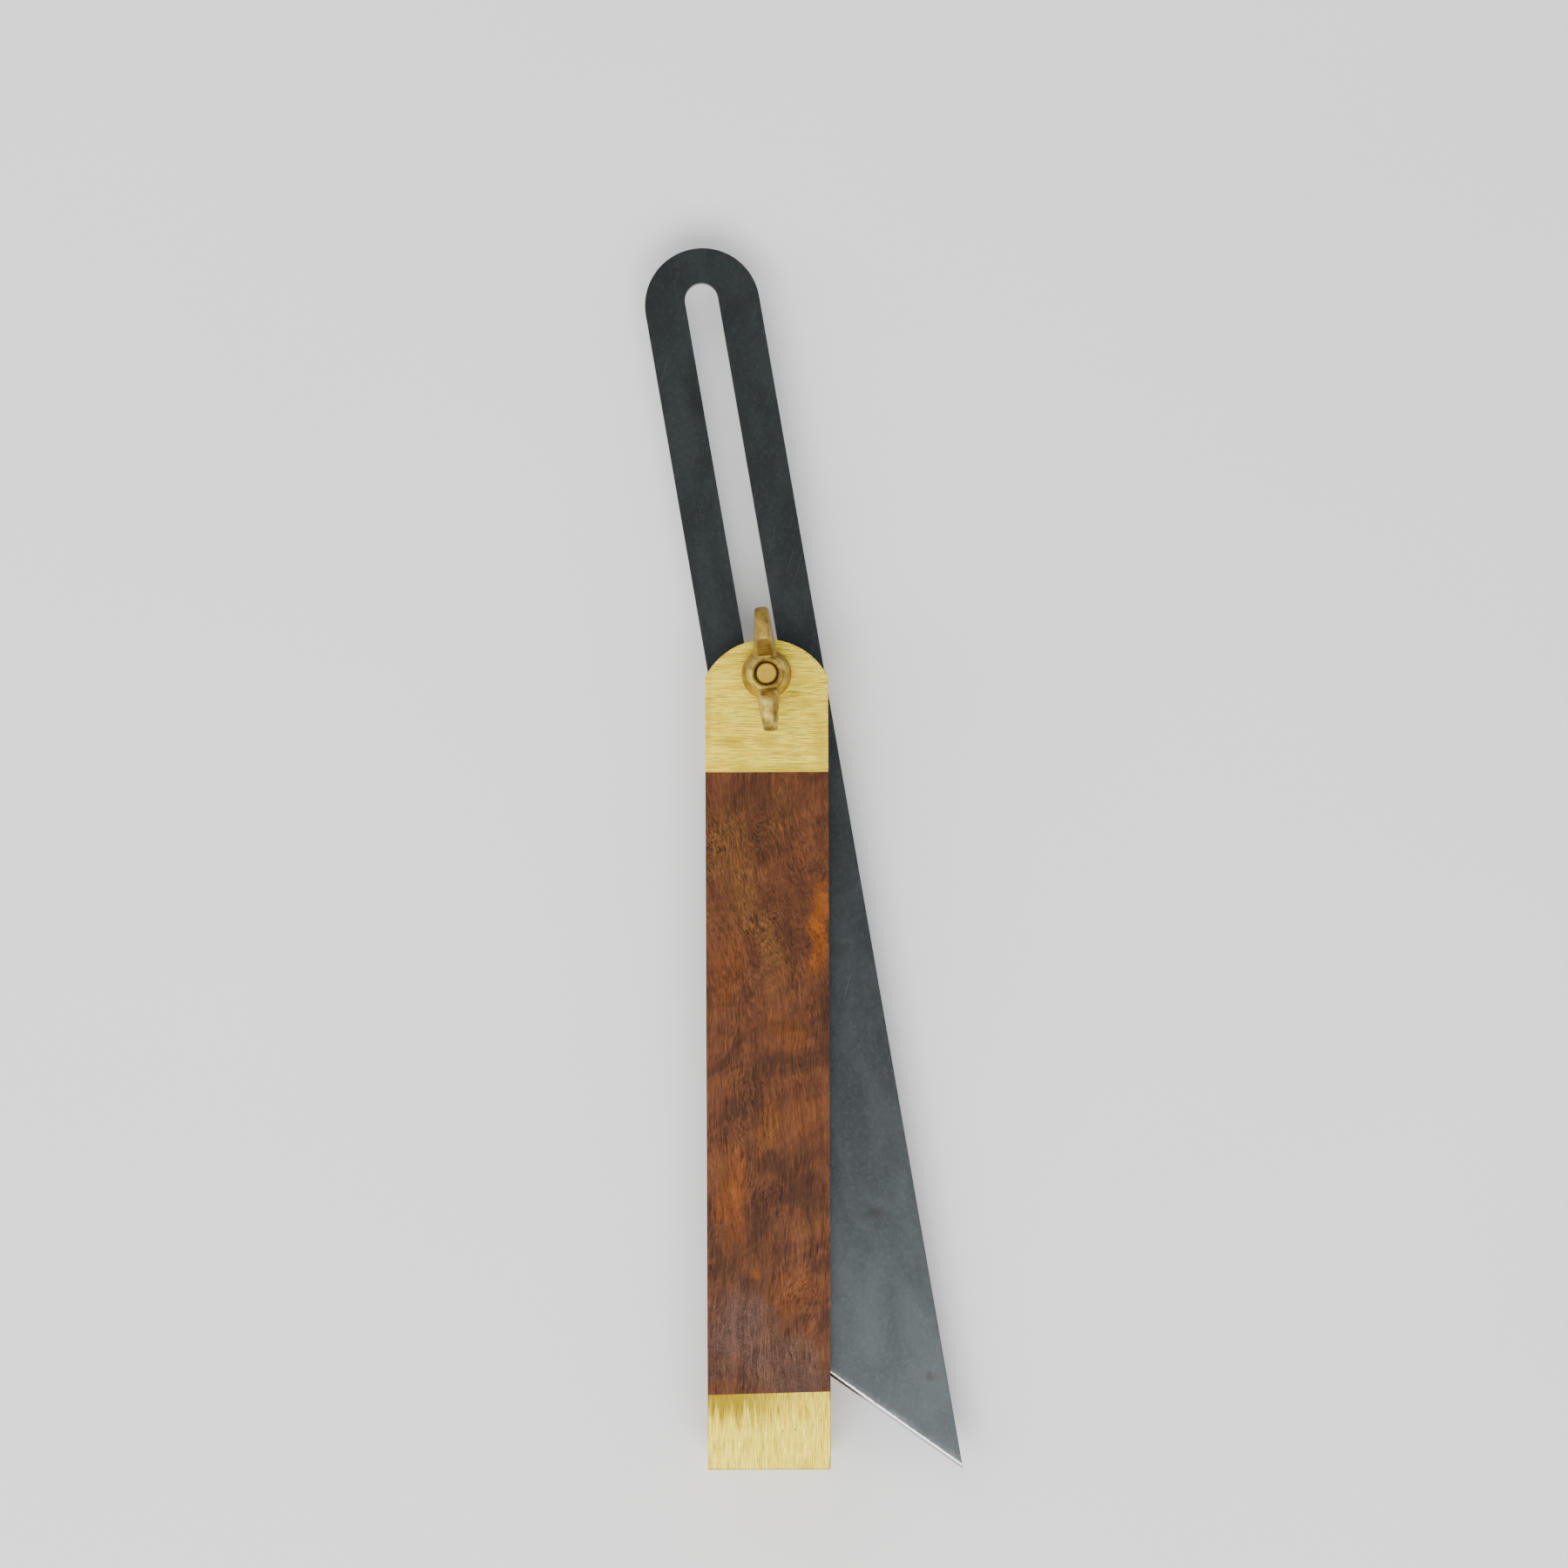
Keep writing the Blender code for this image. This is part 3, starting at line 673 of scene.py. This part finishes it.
def make_cheeks():
    """Front and back cheek, let in for the head plate and for the strap, and drilled."""
    floor = FRONT_Z - PLATE_THICKNESS - CONTACT
    strap_floor = FRONT_Z - STRAP_THICKNESS - CONTACT
    end = BUTT_Y + STRAP_THICKNESS + CONTACT
    cheek = round_headed_board("front_cheek_wood", end, CHEEK_LOW.z, floor)
    trim((0, HEAD_SEAM_Y - CONTACT, 0), (0, 1, 0), keep_all=True)
    trim((0, BUTT_SEAM_Y + CONTACT, 0), (0, 1, 0), keep_all=True)
    pick(lambda middle, up: up.z > 0.9 and middle.y < HEAD_SEAM_Y - CONTACT)
    draw_out(z=strap_floor - floor)
    pick(lambda middle, up: up.z > 0.9 and BUTT_SEAM_Y + CONTACT < middle.y < HEAD_SEAM_Y - CONTACT)
    draw_out(z=FRONT_Z - strap_floor)
    bpy.ops.mesh.select_mode(type="VERT")
    pick_all()
    bpy.ops.mesh.remove_doubles(threshold=1e-6)
    slant_butt_seam(strap_floor + CONTACT)
    ease(lambda middle, along: abs(along.y) > 0.9 and middle.z > FRONT_Z - 1e-6
         and abs(middle.x) > HALF_WIDTH - 1e-6, WOOD_ARRIS, 3)
    stop_editing()
    back = copied_to_back(cheek, "back_cheek_wood")
    low, high = CHEEK_LOW.z - MM, FRONT_Z + MM
    rivet_hole, pin_hole = RIVET_RADIUS + CONTACT, PIN_RADIUS + CONTACT
    carve(cheek, [*drills(RIVET_PLACES, rivet_hole, low, high),
                  drill(0, PIVOT.y, HOLE_RADIUS, low, high),
                  *drills(PIN_PLACES, pin_hole, PIN_HOLE_END_Z, high)])
    low, high = FRONT_Z - high, FRONT_Z - low
    carve(back, [*drills(RIVET_PLACES, rivet_hole, low, high),
                 countersunk_drill(low, high),
                 *drills(PIN_PLACES, pin_hole, low, FRONT_Z - PIN_HOLE_END_Z)])
    return cheek, back


def make_spacer():
    """Packing that fills the slot between the cheeks at the butt."""
    low_y = BUTT_Y + STRAP_THICKNESS + CONTACT
    spacer = start_bar("butt_spacer_wood",
                       (SPACER_LOW.x, low_y, FRONT_Z - CHEEK_LOW.z + CONTACT),
                       (SPACER_HIGH.x, SPACER_HIGH.y, CHEEK_LOW.z - CONTACT))
    ease(lambda middle, along: middle.y > SPACER_HIGH.y - 1e-6, 0.15 * MM, 2)
    stop_editing()
    carve(spacer, drills(RIVET_PLACES, RIVET_RADIUS + CONTACT, 0, FRONT_Z))
    return spacer


def file_head():
    """Move the round end in by hand-filed flats and dips, never out."""
    shape = bmesh.from_edit_mesh(bpy.context.object.data)
    centre = Vector((0, HEAD_Y - HEAD_ARC_RADIUS, 0))
    shoulder = HEAD_Y - HEAD_RISE
    for point in shape.verts:
        out = Vector((point.co.x, point.co.y, 0)) - centre
        on_arc = abs(out.length - HEAD_ARC_RADIUS) < 0.4 * MM
        if on_arc and point.co.y > shoulder + 0.3 * MM:
            along = math.atan2(out.x, out.y) * FILED_FLATS
            dip = 0.5 + 0.5 * noise.noise(Vector((along, 0, 0.7)))
            point.co -= out.normalized() * dip * FILE_DIP
    bmesh.update_edit_mesh(bpy.context.object.data)


def make_head_plates():
    """Front and back head plate, filed round the head and drilled."""
    plate = round_headed_board("front_head_plate_brass", HEAD_SEAM_Y,
                               FRONT_Z - PLATE_THICKNESS, FRONT_Z)
    file_head()
    ease(lambda middle, along: middle.z > FRONT_Z - 1e-6 and middle.y > HEAD_SEAM_Y + 1e-6,
         BRASS_ARRIS, 2)
    stop_editing()
    back = copied_to_back(plate, "back_head_plate_brass")
    pin_hole = PIN_RADIUS + CONTACT / 4
    low, high = FRONT_Z - 3 * MM, FRONT_Z + MM
    carve(plate, [*drills(PIN_PLACES, pin_hole, low, high),
                  drill(0, PIVOT.y, HOLE_RADIUS, low, high)])
    low, high = FRONT_Z - high, FRONT_Z - low
    carve(back, [*drills(PIN_PLACES, pin_hole, low, high), countersunk_drill(low, high + MM)])
    return plate, back


def make_pin(name, radius, x, y, low, high, low_arris):
    """Brass pin or rivet, its upper end filed flush."""
    pin = start_rod(name, radius, x, y, low, high)
    for end, arris in ((low, low_arris), (high, FLUSH_ARRIS)):
        ease(lambda middle, along: abs(middle.z - end) < 1e-6, arris, 2)
    stop_editing()
    return pin


def make_strap():
    """Brass strip folded round the butt."""
    strap = start_bar("butt_strap_brass", (-HALF_WIDTH, BUTT_Y, 0),
                      (HALF_WIDTH, BUTT_SEAM_Y, FRONT_Z))
    stop_editing()
    room = start_bar("room", (-2 * HALF_WIDTH, BUTT_Y + STRAP_THICKNESS, STRAP_THICKNESS),
                     (2 * HALF_WIDTH, BUTT_SEAM_Y + STRAP_THICKNESS, FRONT_Z - STRAP_THICKNESS))
    stop_editing()
    carve(strap, [room])
    reopen(strap)
    slant_butt_seam(MIDDLE_Z)
    ease(lambda middle, along: abs(along.x) > 0.9 and middle.y < BUTT_Y + 1e-6, STRAP_BEND, 6)
    ease(lambda middle, along: abs(middle.x) > HALF_WIDTH - 1e-6 and abs(along.x) < 0.1
         and (min(middle.z, FRONT_Z - middle.z) < STRAP_BEND + 1e-6
              or middle.y < BUTT_Y + STRAP_BEND + 1e-6)
         and middle.y < BUTT_SEAM_Y - MM, BRASS_ARRIS, 2)
    stop_editing()
    carve(strap, drills(RIVET_PLACES, RIVET_RADIUS + CONTACT / 4, -MM, FRONT_Z + MM))
    return strap


# ---------------------------------------------------------------- blade

def make_blade():
    """Slotted blade: round at one end, cut at 45 degrees at the other."""
    half = BLADE_WIDTH / 2
    centre = BLADE_TOP - half
    low = BLADE_LOW.z
    blade = start_disc("blade_steel", half, (0, centre, low), 96)
    trim((0, centre, low), (0, -1, 0))
    pick(lambda middle, along: abs(middle.y - centre) < 1e-6 and abs(along.x) > 0.9, "EDGE")
    draw_out(y=BLADE_TIP - centre)
    trim((half, BLADE_TIP, low), (-1, -1, 0))
    bpy.ops.mesh.select_mode(type="FACE")
    pick_all()
    draw_out(z=BLADE_HIGH.z - low)
    stop_editing()
    slot_centre = SLOT_TOP - SLOT_WIDTH / 2
    slot = start_disc("slot", SLOT_WIDTH / 2, (0, slot_centre, low - MM), 48)
    pick(lambda place: place.y < slot_centre - 1e-6, "VERT")
    bpy.ops.transform.translate(value=(0, SLOT_WIDTH - SLOT_LENGTH, 0))
    pick_all()
    draw_out(z=4 * MM)
    stop_editing()
    carve(blade, [slot])
    reopen(blade)

    def on_cut(place):
        return abs(place.x - half + place.y - BLADE_TIP) < 0.01 * MM

    def on_face(place):
        return min(abs(place.z - BLADE_LOW.z), abs(place.z - BLADE_HIGH.z)) < 1e-6

    ease(lambda middle, along: on_face(middle) and on_cut(middle) and abs(along.x) > 0.5,
         GROUND_EDGE, 1)
    ease(lambda middle, along: on_face(middle) and abs(along.z) < 0.1
         and (abs(middle.x) > half - 1e-5 or middle.y > centre or
              abs(middle.x) < SLOT_WIDTH / 2 + 1e-5), BLADE_ARRIS, 2)
    stop_editing()
    set_on_pivot(blade, BLADE_TURN)
    return blade


def make_slide_block():
    """Block that rides in the slot, round at both ends."""
    block = start_bar("slide_block_brass", (-BLOCK_WIDTH / 2, -BLOCK_LENGTH / 2, BLOCK_LOW.z),
                      (BLOCK_WIDTH / 2, BLOCK_LENGTH / 2, BLOCK_HIGH.z))
    ease(lambda middle, along: abs(along.z) > 0.9, BLOCK_WIDTH / 2 - 0.01 * MM, 12)
    ease(lambda middle, along: abs(along.z) < 0.1, 0.12 * MM, 2)
    stop_editing()
    set_on_pivot(block, BLADE_TURN)
    carve(block, [drill(0, PIVOT.y, HOLE_RADIUS, BLOCK_LOW.z - MM, BLOCK_HIGH.z + MM)])
    return block


# ---------------------------------------------------------------- screw, washer and nut

def cut_thread(low, high):
    """Sink a helical groove into the shank between two heights."""
    shape = bmesh.from_edit_mesh(bpy.context.object.data)
    for point in shape.verts:
        out = Vector((point.co.x, point.co.y - PIVOT.y, 0))
        if not low < point.co.z < high or out.length < SCREW_RADIUS / 2:
            continue
        turns = (point.co.z - low) / THREAD_PITCH - math.atan2(out.y, out.x) / (2 * math.pi)
        flank = min(1.0, 2.6 * abs(turns % 1.0 - 0.5))
        fade = min(1.0, (point.co.z - low) / THREAD_PITCH)
        point.co -= out.normalized() * THREAD_DEPTH * (1 - flank) * fade
    bmesh.update_edit_mesh(bpy.context.object.data)


def make_screw():
    """Brass machine screw: slotted countersunk head at the back, thread at the front."""
    neck = SCREW_LOW.z + SCREW_HEAD_RADIUS - SCREW_RADIUS
    thread_low = FRONT_Z - 1.5 * MM
    thread_high = SCREW_HIGH.z - SCREW_END_CHAMFER
    steps = [(SCREW_LOW.z, SCREW_HEAD_RADIUS), (neck, SCREW_RADIUS), (thread_low, SCREW_RADIUS),
             (thread_high, SCREW_RADIUS), (SCREW_HIGH.z, SCREW_RADIUS - SCREW_END_CHAMFER)]
    screw = start_turned("pivot_screw_brass", PIVOT.y, 64, steps)
    pick(lambda middle, along: abs(along.z) > 0.9 and thread_low < middle.z < thread_high, "EDGE")
    bpy.ops.mesh.subdivide(number_cuts=96)
    cut_thread(thread_low, thread_high)
    stop_editing()
    reach, half = 1.5 * SCREW_HEAD_RADIUS, DRIVER_SLOT_WIDTH / 2
    slot = start_bar("slot", (-reach, PIVOT.y - half, SCREW_LOW.z - 2 * MM),
                     (reach, PIVOT.y + half, SCREW_LOW.z + DRIVER_SLOT_DEPTH))
    stop_editing()
    carve(screw, [slot])
    return screw


def make_washer():
    """Thin washer between the nut and the head plate."""
    low, high = FRONT_Z + CONTACT, WASHER_HIGH.z
    washer = start_rod("washer_brass", WASHER_HIGH.x, 0, PIVOT.y, low, high, 96)
    ease(lambda middle, along: abs(along.z) < 0.1, 0.2 * MM, 3)
    stop_editing()
    carve(washer, [drill(0, PIVOT.y, HOLE_RADIUS, low - MM, high + MM, 64)])
    return washer


def add_wing(side):
    """One wing: an ear with an inner corner, drawn together with its root inside the boss."""
    ear_out = WING_REACH - EAR_RADIUS + side * WING_OFFSET
    across = {"depth": WING_THICKNESS, "rotation": (0, math.pi / 2, 0)}
    wing = start("wing", bpy.ops.mesh.primitive_cylinder_add, vertices=64, radius=EAR_RADIUS,
                 location=(0, side * ear_out, WING_TOP_Z - EAR_RADIUS), **across)
    corner = (0, side * (ear_out - CORNER_INSET), WING_TOP_Z - CORNER_RADIUS)
    bpy.ops.mesh.primitive_cylinder_add(vertices=24, radius=CORNER_RADIUS, location=corner,
                                        **across)
    for width, y, z in WING_ROOTS:
        bpy.ops.mesh.primitive_cube_add(size=1, location=(0, side * y, NUT_LOW.z + z),
                                        scale=(width, MM, MM))
    pick_all()
    bpy.ops.mesh.convex_hull()
    stop_editing()
    apply_modifier(wing, "BEVEL", width=WING_EDGE, segments=4, limit_method="ANGLE",
                   angle_limit=math.radians(50))
    return wing


def roughen(piece):
    """Give a casting the slightly lumpy skin of its sand mould."""
    directions = [point.normal.copy() for point in piece.data.vertices]
    for point, out in zip(piece.data.vertices, directions):
        lump = noise.noise(point.co * 350) + 0.5 * noise.noise(point.co * 900)
        point.co += out * lump * SAND_LUMP


def make_wing_nut():
    """Cast wing nut: wings and boss run together in one skin, then bored."""
    low = WASHER_HIGH.z + CONTACT
    top = NUT_LOW.z + NUT_BOSS_HEIGHT
    steps = [(low, NUT_BASE_RADIUS), (NUT_LOW.z + NUT_FOOT, NUT_BASE_RADIUS), (top, NUT_TOP_RADIUS)]
    boss = start_turned("wing_nut_brass", 0, 96, steps)
    stop_editing()
    apply_modifier(boss, "BEVEL", width=NUT_EDGE, segments=3, limit_method="ANGLE",
                   angle_limit=math.radians(40))
    wings = [add_wing(side) for side in (-1, 1)]
    deselect()
    for piece in (boss, *wings):
        piece.select_set(True)
    bpy.context.view_layer.objects.active = boss
    bpy.ops.object.join()
    apply_modifier(boss, "REMESH", mode="VOXEL", voxel_size=SAND_GRAIN)
    apply_modifier(boss, "SMOOTH", factor=0.6, iterations=9)
    roughen(boss)
    set_on_pivot(boss, WING_TURN)
    steps = [(low - MM, HOLE_RADIUS), (top - NUT_MOUTH, HOLE_RADIUS),
             (top + NUT_MOUTH, HOLE_RADIUS + 2 * NUT_MOUTH)]
    bore = start_turned("bore", PIVOT.y, 96, steps)
    stop_editing()
    carve(boss, [bore])
    return boss


# ---------------------------------------------------------------- setting

def make_floor():
    """Pale floor just under the tool."""
    floor = start("floor", bpy.ops.mesh.primitive_plane_add, size=6, location=(0, 0, -CONTACT))
    pick_all()
    bpy.ops.mesh.subdivide(number_cuts=8)
    bpy.ops.object.mode_set(mode="OBJECT")
    made, shader, place = finish_named("pale_floor", Roughness=0.7)
    tone = place.noise((0.01, 0.01, 0.01), 2.0)
    connect(shader, Base_Color=tone.tint(shade(236, 236, 236), shade(242, 242, 241)))
    floor.data.materials.append(made)


def add_softbox(name, place, size, power):
    """Soft rectangular light that faces the tool."""
    light = bpy.data.lights.new(name, "AREA")
    light.shape = "RECTANGLE"
    light.size, light.size_y = size
    light.energy = power
    box = bpy.data.objects.new(name, light)
    bpy.context.scene.collection.objects.link(box)
    box.location = place
    box.rotation_euler = (MIDDLE_OF_TOOL - Vector(place)).to_track_quat("-Z", "Y").to_euler()
    box.visible_camera = False


def make_light():
    """Even studio light with three softboxes."""
    world = bpy.data.worlds.new("studio")
    bpy.context.scene.world = world
    world.use_nodes = True
    background = world.node_tree.nodes["Background"]
    background.inputs["Color"].default_value = (1.0, 0.99, 0.97, 1.0)
    background.inputs["Strength"].default_value = 0.60
    add_softbox("near_softbox", (0.0, -0.63, 1.14), (1.3, 0.8), 23.0)
    add_softbox("far_softbox", (-0.5, 1.0, 0.9), (0.9, 0.5), 5.0)
    add_softbox("left_softbox", (-1.1, 0.05, 0.85), (0.5, 1.2), 6.5)


def make_camera():
    """Straight above the tool, its head up the picture."""
    lens = bpy.data.cameras.new("camera")
    lens.sensor_width = 36
    lens.lens = lens.sensor_width * VIEW_DISTANCE / VIEW_WIDTH
    camera = bpy.data.objects.new("camera", lens)
    camera.location = CAMERA_PLACE
    camera.rotation_euler = (0, 0, CAMERA_LEAN)
    bpy.context.scene.collection.objects.link(camera)
    bpy.context.scene.camera = camera


def fit_stock(wood, head_brass, butt_brass):
    """Cheeks, packing, head plates and strap, with the pins and rivets that hold them."""
    front, back = make_cheeks()
    fit(front, wood, "stock", "hardwood", "front_cheek")
    fit(back, wood, "stock", "hardwood", "back_cheek")
    fit(make_spacer(), wood, "stock", "hardwood", "butt_spacer")
    front, back = make_head_plates()
    fit(front, head_brass, "stock", "brass", "front_head_plate")
    fit(back, head_brass, "stock", "brass", "back_head_plate")
    for number, (x, y) in enumerate(PIN_PLACES, 1):
        pin = make_pin(f"front_head_pin_{number}_brass", PIN_RADIUS, x, y, PIN_END_Z, FRONT_Z,
                       BURIED_ARRIS)
        back_pin = copied_to_back(pin, f"back_head_pin_{number}_brass")
        fit(pin, head_brass, "stock", "brass", f"front_head_pin_{number}")
        fit(back_pin, head_brass, "stock", "brass", f"back_head_pin_{number}")
    fit(make_strap(), butt_brass, "stock", "brass", "butt_strap")
    for number, (x, y) in enumerate(RIVET_PLACES, 1):
        rivet = make_pin(f"butt_rivet_{number}_brass", RIVET_RADIUS, x, y, 0, FRONT_Z, FLUSH_ARRIS)
        fit(rivet, butt_brass, "stock", "brass", f"butt_rivet_{number}")


def fit_pivot(lathe_brass):
    """Screw, block, blade, washer and wing nut."""
    fit(make_screw(), lathe_brass, "stock", "brass", "pivot_screw")
    fit(make_slide_block(), lathe_brass, "pivot_block", "brass", "slide_block")
    fit(make_blade(), blued_steel(), "blade", "blued_steel", "blade")
    fit(make_washer(), lathe_brass, "washer", "brass", "washer")
    fit(make_wing_nut(), cast_brass(), "wing_nut", "cast_brass", "wing_nut", angle=40)


make_camera()
make_light()
make_floor()
fit_stock(oiled_hardwood(), brushed_brass("cross_brushed_brass", across=True),
          brushed_brass("long_brushed_brass", across=False))
fit_pivot(turned_brass())
